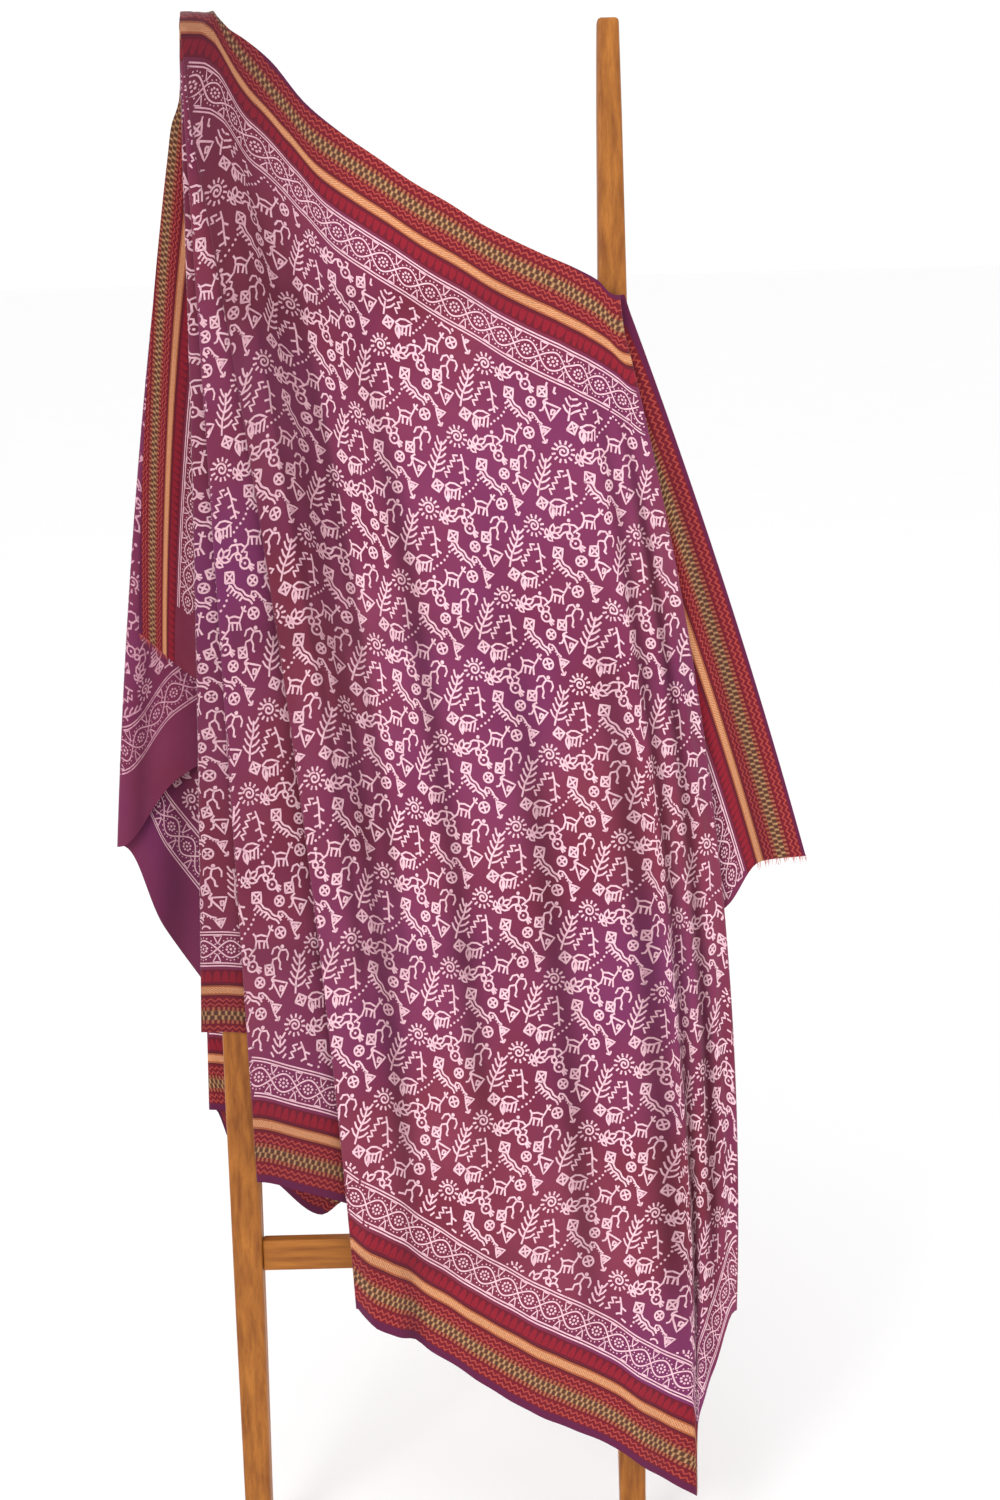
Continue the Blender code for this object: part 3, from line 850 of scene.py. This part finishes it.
class Drape:
    def __init__(self, grid, flat):
        self.grid, self.flat = grid, flat
        wide, tall = grid.shape[:2]
        along = np.gradient(grid, axis=0)
        down = np.gradient(grid, axis=1)
        normal = -np.cross(along, down)
        length = np.linalg.norm(normal, axis=2, keepdims=True)
        self.normal = normal / np.maximum(length, 1e-12)
        self.normal[:, 0] = self.normal[:, 1]
        faces = []
        for i in range(wide - 1):
            for j in range(tall - 1):
                a = i * tall + j
                b, c, d = a + tall, a + tall + 1, a + 1
                faces.append((a, b, c))
                faces.append((a, c, d))
        self.corners = np.array(faces)
        flat_points = [Vector((s, t, 0.0)) for s, t in flat.reshape(-1, 2)]
        self.tree = BVHTree.FromPolygons(flat_points, faces, all_triangles=True)

    def place(self, points):
        """Drape places and normals of flat points."""
        flat = self.flat.reshape(-1, 2)
        grid = self.grid.reshape(-1, 3)
        normal = self.normal.reshape(-1, 3)
        down = Vector((0, 0, -1))
        hit = np.zeros(len(points), dtype=int)
        for k, (s, t) in enumerate(points):
            found = self.tree.ray_cast(Vector((s, t, 1.0)), down)[2]
            if found is None:
                found = self.tree.find_nearest(Vector((s, t, 0.0)))[2]
            hit[k] = found
        tri = self.corners[hit]
        a, b, c = flat[tri[:, 0]], flat[tri[:, 1]], flat[tri[:, 2]]
        ab, ac, ap = b - a, c - a, points - a
        area = ab[:, 0] * ac[:, 1] - ab[:, 1] * ac[:, 0]
        area = np.where(np.abs(area) < 1e-14, 1e-14, area)
        v = (ap[:, 0] * ac[:, 1] - ap[:, 1] * ac[:, 0]) / area
        w = (ab[:, 0] * ap[:, 1] - ab[:, 1] * ap[:, 0]) / area
        v, w = np.clip(v, 0, 1), np.clip(w, 0, 1)
        u = np.clip(1 - v - w, 0, 1)
        total = u + v + w
        u, v, w = (u / total)[:, None], (v / total)[:, None], (w / total)[:, None]
        spot = grid[tri[:, 0]] * u + grid[tri[:, 1]] * v + grid[tri[:, 2]] * w
        self.last_tri, self.last_share = tri, np.concatenate([u, v, w], axis=1)
        out = normal[tri[:, 0]] * u + normal[tri[:, 1]] * v + normal[tri[:, 2]] * w
        out /= np.maximum(np.linalg.norm(out, axis=1, keepdims=True), 1e-9)
        return spot, out

    def carry(self, values):
        """A value of each grid point at the flat points that were placed last."""
        return (values.reshape(-1)[self.last_tri] * self.last_share).sum(axis=1)


# Painted shade: a point attribute, higher where shade falls, that the cloth and print materials mix towards a
# dark colour.
def add_painted_shade(piece, values):
    shade = piece.data.attributes.new("painted_shade", "FLOAT", "POINT")
    shade.data.foreach_set("value", np.clip(-values, 0, 1).astype(np.float32).ravel())


def mesh_piece(name, points, faces, look, smooth_shading=True):
    mesh = bpy.data.meshes.new(name)
    mesh.from_pydata([tuple(p) for p in points.tolist()], [], faces)
    mesh.validate()
    mesh.materials.append(look)
    if smooth_shading:
        mesh.shade_smooth()
    made = bpy.data.objects.new(name, mesh)
    bpy.context.scene.collection.objects.link(made)
    return made


# Materials

def linear(red, green, blue):
    def one(c):
        c /= 255
        return c / 12.92 if c <= 0.04045 else ((c + 0.055) / 1.055) ** 2.4
    return one(red), one(green), one(blue), 1.0


class Look:
    """A material with short ways to add nodes."""

    def __init__(self, name):
        self.material = bpy.data.materials.new(name)
        self.material.use_nodes = True
        self.tree = self.material.node_tree
        self.shader = self.tree.nodes["Principled BSDF"]

    def set(self, **values):
        for key, value in values.items():
            self.shader.inputs[key.replace("_", " ")].default_value = value

    def link(self, source, target):
        self.tree.links.new(source, target)

    def node(self, kind, **values):
        made = self.tree.nodes.new(kind)
        for key, value in values.items():
            setattr(made, key, value)
        return made

    def feed(self, socket, value):
        if isinstance(value, (int, float, tuple)):
            socket.default_value = value
        else:
            self.link(value, socket)

    def math(self, operation, a, b=0.0, c=0.0):
        made = self.node("ShaderNodeMath", operation=operation)
        for socket, value in zip(made.inputs, (a, b, c)):
            self.feed(socket, value)
        return made.outputs[0]

    def mix(self, share, first, second, blend="MIX"):
        made = self.node("ShaderNodeMix", data_type="RGBA", blend_type=blend)
        self.feed(made.inputs[0], share)
        self.feed(made.inputs[6], first)
        self.feed(made.inputs[7], second)
        return made.outputs[2]

    def between(self, value, low, high):
        return self.math("MULTIPLY", self.math("GREATER_THAN", value, low),
            self.math("LESS_THAN", value, high))

    def noise(self, vector, scale, detail=3.0, rough=0.5):
        made = self.node("ShaderNodeTexNoise")
        made.inputs["Scale"].default_value = scale
        made.inputs["Detail"].default_value = detail
        made.inputs["Roughness"].default_value = rough
        self.link(vector, made.inputs["Vector"])
        return made.outputs["Fac"]

    def span(self, value, low, high, to_low=0.0, to_high=1.0):
        made = self.node("ShaderNodeMapRange")
        for socket, number in zip(made.inputs[:5], (value, low, high, to_low, to_high)):
            self.feed(socket, number)
        return made.outputs[0]


def weave_bump(look, flat_uv, strength):
    """Fine crossing threads as bump, on the flat cloth's own coordinates."""
    waves = []
    for direction in ("X", "Y"):
        wave = look.node("ShaderNodeTexWave", wave_type="BANDS", bands_direction=direction)
        wave.inputs["Scale"].default_value = 260.0
        wave.inputs["Distortion"].default_value = 1.2
        wave.inputs["Detail"].default_value = 1.0
        look.link(flat_uv, wave.inputs["Vector"])
        waves.append(wave.outputs["Fac"])
    threads = look.math("MULTIPLY", waves[0], waves[1])
    slub = look.noise(flat_uv, 90.0, 4.0)
    height = look.math("ADD", look.math("MULTIPLY", threads, 0.6), look.math("MULTIPLY", slub, 1.2))
    bump = look.node("ShaderNodeBump")
    bump.inputs["Strength"].default_value = strength
    bump.inputs["Distance"].default_value = 0.0006
    look.link(height, bump.inputs["Height"])
    look.link(bump.outputs["Normal"], look.shader.inputs["Normal"])


def cloth_material():
    look = Look("plum_printed_cotton")
    uv = look.node("ShaderNodeUVMap", uv_map="flat").outputs["UV"]
    parts = look.node("ShaderNodeSeparateXYZ")
    look.link(uv, parts.inputs[0])
    s = look.math("MULTIPLY", parts.outputs[0], L_MM)
    t = look.math("MULTIPLY", parts.outputs[1], W_MM)
    edge = look.math("MINIMUM", t, look.math("SUBTRACT", W_MM, t))
    metric = look.node("ShaderNodeCombineXYZ")
    look.link(look.math("MULTIPLY", s, 0.001), metric.inputs[0])
    look.link(look.math("MULTIPLY", t, 0.001), metric.inputs[1])
    flat_uv = metric.outputs[0]

    patchy = look.noise(flat_uv, 7.0, 5.0)
    plum = look.mix(look.span(patchy, 0.35, 0.68), linear(120, 38, 58), linear(138, 56, 80))
    drift = look.noise(flat_uv, 2.6, 3.0)
    colour = look.mix(look.span(drift, 0.42, 0.66, 0.0, 0.75), plum, linear(122, 48, 106))

    def wavy(period, shift=0.0):
        share = look.math("FRACT", look.math("ADD", look.math("DIVIDE", s, period), shift))
        return look.math("MULTIPLY", look.math("ABSOLUTE", look.math("SUBTRACT", share, 0.5)), 2.0)

    # Plain selvedge, a little darker and denser than the field.
    colour = look.mix(look.math("LESS_THAN", edge, 7.5), colour, linear(98, 26, 66))

    # Two red bands with zigzags.
    for low, high in ((7.5, 20.5), (38.5, 50.5)):
        inside = look.between(edge, low, high)
        colour = look.mix(inside, colour, linear(122, 22, 36))
        up = look.math("DIVIDE", look.math("SUBTRACT", edge, low), high - low)
        for lift in (0.10, 0.52):
            middle = look.math("ADD", look.math("MULTIPLY", wavy(7.6), 0.26), lift)
            line = look.math("LESS_THAN", look.math("ABSOLUTE", look.math("SUBTRACT", up, middle)), 0.070)
            colour = look.mix(look.math("MULTIPLY", line, inside), colour, linear(186, 74, 64))

    # Checked stripe: dark brown blocks on beige in two rows, between salmon rows of short stitches.
    inside = look.between(edge, 20.5, 38.5)
    core = look.between(edge, 24.6, 34.6)
    colour = look.mix(inside, colour, linear(112, 34, 32))
    colour = look.mix(core, colour, linear(156, 112, 74))
    for low, shift in ((24.6, 0.0), (29.8, 0.5)):
        row = look.between(edge, low, low + 4.4)
        block = look.math("MULTIPLY", look.math("GREATER_THAN", wavy(6.6, shift), 0.46), row)
        colour = look.mix(block, colour, linear(88, 58, 40))
        glimmer = look.math("MULTIPLY", look.math("LESS_THAN", wavy(6.6, shift), 0.20), row)
        colour = look.mix(glimmer, colour, linear(204, 162, 116))
    outside = look.math("SUBTRACT", inside, core)
    pale = look.math("MULTIPLY", look.math("GREATER_THAN", wavy(5.0), 0.50), outside)
    colour = look.mix(pale, colour, linear(182, 104, 74))

    # Thin dark lines on both sides of the gold band.
    for low, high in ((50.5, 51.9), (62.4, 64.0)):
        colour = look.mix(look.between(edge, low, high), colour, linear(84, 26, 36))
    # Gold band: slanted lighter bands of painted sheen along its diagonal weave, darker along both edges.
    gold = look.between(edge, 51.9, 62.4)
    slant = look.math("SINE", look.math("ADD", look.math("MULTIPLY", s, 1.9),
        look.math("MULTIPLY", edge, 2.6)))
    bright = look.math("MULTIPLY", look.math("ADD", slant, 1.0), 0.5)
    gold_with_painted_sheen = look.mix(bright, linear(208, 128, 82), linear(240, 180, 132))
    streak = look.math("ABSOLUTE", look.math("SUBTRACT", edge, 57.2))
    gold_with_painted_sheen = look.mix(look.math("GREATER_THAN", streak, 3.4), gold_with_painted_sheen, linear(184, 100, 62))
    colour = look.mix(gold, colour, gold_with_painted_sheen)

    # Dark red ground with rounded crimson teeth.
    inside = look.between(edge, 64.0, 80.0)
    colour = look.mix(inside, colour, linear(112, 20, 40))
    side = look.math("SUBTRACT", look.math("FRACT", look.math("DIVIDE", s, 8.2)), 0.5)
    arch = look.math("SQRT", look.math("SUBTRACT", 1.0,
        look.math("MULTIPLY", look.math("MULTIPLY", side, side), 4.6)))
    tooth = look.math("LESS_THAN", look.math("SUBTRACT", edge, 66.5), look.math("MULTIPLY", arch, 12.0))
    gap = look.math("LESS_THAN", look.math("ABSOLUTE", side), 0.43)
    tooth = look.math("MULTIPLY", look.math("MULTIPLY", tooth, gap), look.between(edge, 66.5, 80.0))
    colour = look.mix(tooth, colour, linear(152, 26, 44))
    fleck = look.noise(flat_uv, 420.0, 2.0)
    colour = look.mix(look.math("MULTIPLY", look.between(edge, 7.5, 80.0),
        look.span(fleck, 0.35, 0.75, 0.0, 0.30)),
                      colour, linear(96, 22, 34))

    # Fine threads, and painted shade: darker where the cloth lies in a trough, over a rung or among the
    # gathered folds.
    thread = look.noise(flat_uv, 1500.0, 1.0)
    colour = look.mix(look.span(thread, 0.3, 0.7, 0.0, 0.16), colour, linear(70, 14, 40), "MIX")
    painted_shade = look.node("ShaderNodeAttribute", attribute_name="painted_shade").outputs["Fac"]
    colour = look.mix(look.math("MULTIPLY", painted_shade, 0.58), colour, linear(48, 6, 24))
    look.link(colour, look.shader.inputs["Base Color"])
    rough = look.math("SUBTRACT", 0.88, look.math("MULTIPLY", gold, 0.50))
    look.link(rough, look.shader.inputs["Roughness"])
    look.link(look.math("MULTIPLY", gold, 0.45), look.shader.inputs["Metallic"])
    look.set(Sheen_Weight=0.18, Sheen_Roughness=0.5)
    look.shader.inputs["Specular IOR Level"].default_value = 0.22
    weave_bump(look, flat_uv, 0.35)
    return look.material


def print_material(name, bright, dull):
    look = Look(name)
    where = look.node("ShaderNodeTexCoord").outputs["Object"]
    worn = look.noise(where, 210.0, 4.0, 0.65)
    colour = look.mix(look.span(worn, 0.40, 0.72), bright, dull)
    # Painted shade from the cloth's troughs, rungs and gathered folds darkens the print too.
    painted_shade = look.node("ShaderNodeAttribute", attribute_name="painted_shade").outputs["Fac"]
    colour = look.mix(look.math("MULTIPLY", painted_shade, 0.60), colour, linear(110, 44, 60))
    look.link(colour, look.shader.inputs["Base Color"])
    look.set(Roughness=0.9, Sheen_Weight=0.12)
    look.shader.inputs["Specular IOR Level"].default_value = 0.2
    bump = look.node("ShaderNodeBump")
    bump.inputs["Strength"].default_value = 0.25
    bump.inputs["Distance"].default_value = 0.0004
    look.link(look.noise(where, 900.0, 2.0), bump.inputs["Height"])
    look.link(bump.outputs["Normal"], look.shader.inputs["Normal"])
    return look.material


def wood_material(name, along):
    """Honey wood with its grain along X for the rungs or along the leaning pole's length."""
    look = Look(name)
    where = look.node("ShaderNodeTexCoord").outputs["Object"]
    place = look.node("ShaderNodeMapping")
    place.inputs["Rotation"].default_value = (0.0, 0.0, 0.0) if along == "X" else (-LEAN, 0.0, 0.0)
    place.inputs["Scale"].default_value = (1.6, 26.0, 26.0) if along == "X" else (26.0, 26.0, 1.6)
    look.link(where, place.inputs["Vector"])
    grain = look.noise(place.outputs[0], 5.0, 6.0, 0.6)
    fine = look.noise(place.outputs[0], 26.0, 4.0, 0.6)
    colour = look.mix(look.span(grain, 0.30, 0.70), linear(128, 70, 20), linear(180, 112, 42))
    colour = look.mix(look.span(fine, 0.52, 0.78, 0.0, 0.45), colour, linear(122, 62, 26))
    look.link(colour, look.shader.inputs["Base Color"])
    look.link(look.span(fine, 0.3, 0.8, 0.40, 0.60), look.shader.inputs["Roughness"])
    look.set(Coat_Weight=0.04, Coat_Roughness=0.4)
    look.shader.inputs["Specular IOR Level"].default_value = 0.25
    bump = look.node("ShaderNodeBump")
    bump.inputs["Strength"].default_value = 0.22
    bump.inputs["Distance"].default_value = 0.0008
    look.link(fine, bump.inputs["Height"])
    look.link(bump.outputs["Normal"], look.shader.inputs["Normal"])
    return look.material


# The cloth
grid, flat, rim_at, painted_shade = build_sheet_grid()
drape = Drape(grid, flat)
wide, tall = grid.shape[:2]
quads = []
for i in range(wide - 1):
    for j in range(tall - 1):
        a = i * tall + j
        quads.append((a, a + 1, a + tall + 1, a + tall))
printed_cotton = cloth_material()
cloth = mesh_piece("sarong", grid.reshape(-1, 3), quads, printed_cotton)
uv_layer = cloth.data.uv_layers.new(name="flat")
loop_points = np.zeros(len(cloth.data.loops), dtype=np.int32)
cloth.data.loops.foreach_get("vertex_index", loop_points)
spread = flat.reshape(-1, 2)[loop_points] / np.array([LENGTH, WIDTH])
uv_layer.data.foreach_set("uv", spread.astype(np.float32).ravel())
add_painted_shade(cloth, painted_shade)

# The print, on both sides of the cloth. Its field and its borders are pieces of their own.
print_lift = 0.00028
print_look = print_material("print_pink_white", linear(246, 204, 214), linear(226, 174, 190))
show_through = print_material("print_show_through", linear(226, 176, 192), linear(186, 116, 142))
print_pieces = []
for part, (flat_points, faces) in (("field", build_field()), ("borders", build_borders())):
    spots, outs = drape.place(flat_points)
    front = mesh_piece(f"print_{part}_front", spots + outs * print_lift, faces, print_look)
    back_faces = [tuple(reversed(face)) for face in faces]
    back = mesh_piece(f"print_{part}_back", spots - outs * print_lift, back_faces, show_through)
    for piece in (front, back):
        add_painted_shade(piece, drape.carry(painted_shade))
        print_pieces.append(piece)

# Frayed threads at the two short ends, only in the border within 62 mm of one long edge.
fray_points, fray_faces = [], []
rng = np.random.default_rng(7)
for column, p in enumerate(rim_at):
    into_a, into_b = p, 2 * WIDTH + LENGTH - p
    near = min(into_a, into_b)
    if near > 0.062:
        continue
    for _ in range(5):
        share = rng.uniform(0, 1)
        other = min(column + 1, wide - 1)
        foot = grid[column, -1] * (1 - share) + grid[other, -1] * share
        above = grid[column, -3] * (1 - share) + grid[other, -3] * share
        way = foot - above
        way /= np.linalg.norm(way)
        way = way * 0.75 + np.array([0.0, 0.0, -0.35]) + rng.normal(0, 0.16, 3)
        way /= np.linalg.norm(way)
        length = rng.uniform(0.003, 0.009)
        across = np.cross(way, np.array([0.0, 1.0, 0.0]))
        across /= max(np.linalg.norm(across), 1e-6)
        start = len(fray_points)
        for k in range(4):
            bend = foot - way * 0.001 + way * length * k / 3 + np.array([0, 0, -0.0009]) * (k / 3) ** 2
            half = 0.00028 * (1 - 0.6 * k / 3)
            fray_points += [bend + across * half, bend - across * half]
        for k in range(3):
            i = start + 2 * k
            fray_faces.append((i, i + 1, i + 3, i + 2))
fray_look = print_material("frayed_thread", linear(196, 92, 84), linear(140, 44, 60))
fray = mesh_piece("frayed_ends", np.array(fray_points), fray_faces, fray_look)

for piece in [cloth, *print_pieces, fray]:
    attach(piece, "root")
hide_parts("cloth")

# The ladder keeps its solids and gets wood.
pole_wood = wood_material("honey_wood_pole", "Z")
rung_wood = wood_material("honey_wood_rung", "X")
for node in ("pole_left", "pole_right"):
    bpy.data.objects[node].material_slots[0].material = pole_wood
for number in range(RUNG_COUNT):
    bpy.data.objects[f"rung_{number + 1}"].material_slots[0].material = rung_wood

# Floor, light and camera
FLOOR_Z = float(plain_world(0, POLE_LENGTH, 0)[2] - ORIGIN[2])
FLOOR_CORNERS = ((-40.0, -40.0), (40.0, -40.0), (40.0, 40.0), (-40.0, 40.0))
stage_points = np.array([(x, y, FLOOR_Z) for x, y in FLOOR_CORNERS])
stage_look = Look("pale_floor")
where = stage_look.node("ShaderNodeTexCoord").outputs["Object"]
stage_look.link(
    stage_look.mix(stage_look.noise(where, 3.0), (0.95, 0.95, 0.95, 1.0), (0.97, 0.97, 0.97, 1.0)),
    stage_look.shader.inputs["Base Color"],
)
stage_look.set(Roughness=0.95)
stage = mesh_piece("studio_floor", stage_points, [(0, 1, 2, 3)], stage_look.material)


def area_light(name, place, target, size, power):
    data = bpy.data.lights.new(name, "AREA")
    data.shape = "RECTANGLE"
    data.size, data.size_y = size
    data.energy = power
    made = bpy.data.objects.new(name, data)
    made.location = place
    made.rotation_euler = (Vector(target) - Vector(place)).to_track_quat("-Z", "Y").to_euler()
    bpy.context.scene.collection.objects.link(made)


area_light("key", (-2.4, -3.4, 1.6), (-0.2, 0.0, -0.7), (1.6, 1.6), 52)
area_light("fill", (2.6, -2.8, 0.6), (-0.2, 0.0, -0.8), (2.6, 2.6), 8)
area_light("top", (-0.2, -0.6, 2.6), (-0.2, 0.2, -0.8), (3.0, 3.0), 14)

world = bpy.data.worlds.new("soft_white")
world.use_nodes = True
world.node_tree.nodes["Background"].inputs["Color"].default_value = (1.0, 1.0, 1.0, 1.0)
world.node_tree.nodes["Background"].inputs["Strength"].default_value = 1.02
bpy.context.scene.world = world
bpy.context.scene.view_settings.view_transform = "Standard"

camera_data = bpy.data.cameras.new("camera")
camera_data.sensor_fit = "VERTICAL"
camera_data.sensor_height = 36.0
camera_data.lens = 47.783
camera = bpy.data.objects.new("camera", camera_data)
camera.location = (-0.1331, -2.2513, -0.1591)
camera.rotation_euler = [math.radians(a) for a in (74.595, 1.369, -0.377)]
bpy.context.scene.collection.objects.link(camera)
bpy.context.scene.camera = camera
